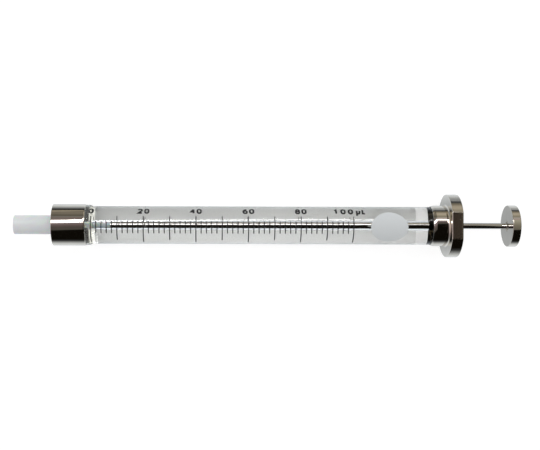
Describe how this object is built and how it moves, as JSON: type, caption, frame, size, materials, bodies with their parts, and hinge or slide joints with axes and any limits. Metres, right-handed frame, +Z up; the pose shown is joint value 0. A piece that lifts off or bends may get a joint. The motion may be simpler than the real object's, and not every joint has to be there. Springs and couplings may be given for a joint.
{
  "type": "gas syringe",
  "caption": "Gas-tight glass microlitre syringe with a plastic spigot tip, plated collar and finger flange, wire plunger with a disc button, and a printed scale.",
  "frame": {"origin": "under the middle of the syringe, on the level of the lower flat of the finger flange", "axes": "+X along the barrel from the tip towards the plunger button, +Z up through the scale, +Y across the barrel towards the numerals"},
  "size_m": [0.1164, 0.0146, 0.0132],
  "materials": {
    "glass": "clear, polished, with fire-polished ends",
    "white_plastic": "smooth, waxy, slightly translucent",
    "plated_metal": "bright nickel plating over turned brass",
    "steel_wire": "fine ground",
    "cement": "clear hard cement, slightly grey",
    "black_print": "fused black print",
    "white_print": "fused white print",
    "pale_print": "fused pale blue-grey print"
  },
  "bodies": {
    "barrel": {"glass_barrel": "glass", "luer_tip": "white_plastic", "front_collar": "plated_metal", "front_cement": "cement", "rear_flange": "plated_metal", "scale_marks": "black_print", "scale_numerals": "black_print", "white_backing": "white_print", "label_patch": "pale_print"},
    "plunger": {"plunger_rod": "steel_wire", "plunger_seal": "white_plastic", "plunger_button": "plated_metal"}
  },
  "joints": [
    {"name": "plunger_slide", "type": "slide", "parent": "barrel", "child": "plunger", "axis": [1, 0, 0], "range_m": [0, 0.06]}
  ]
}
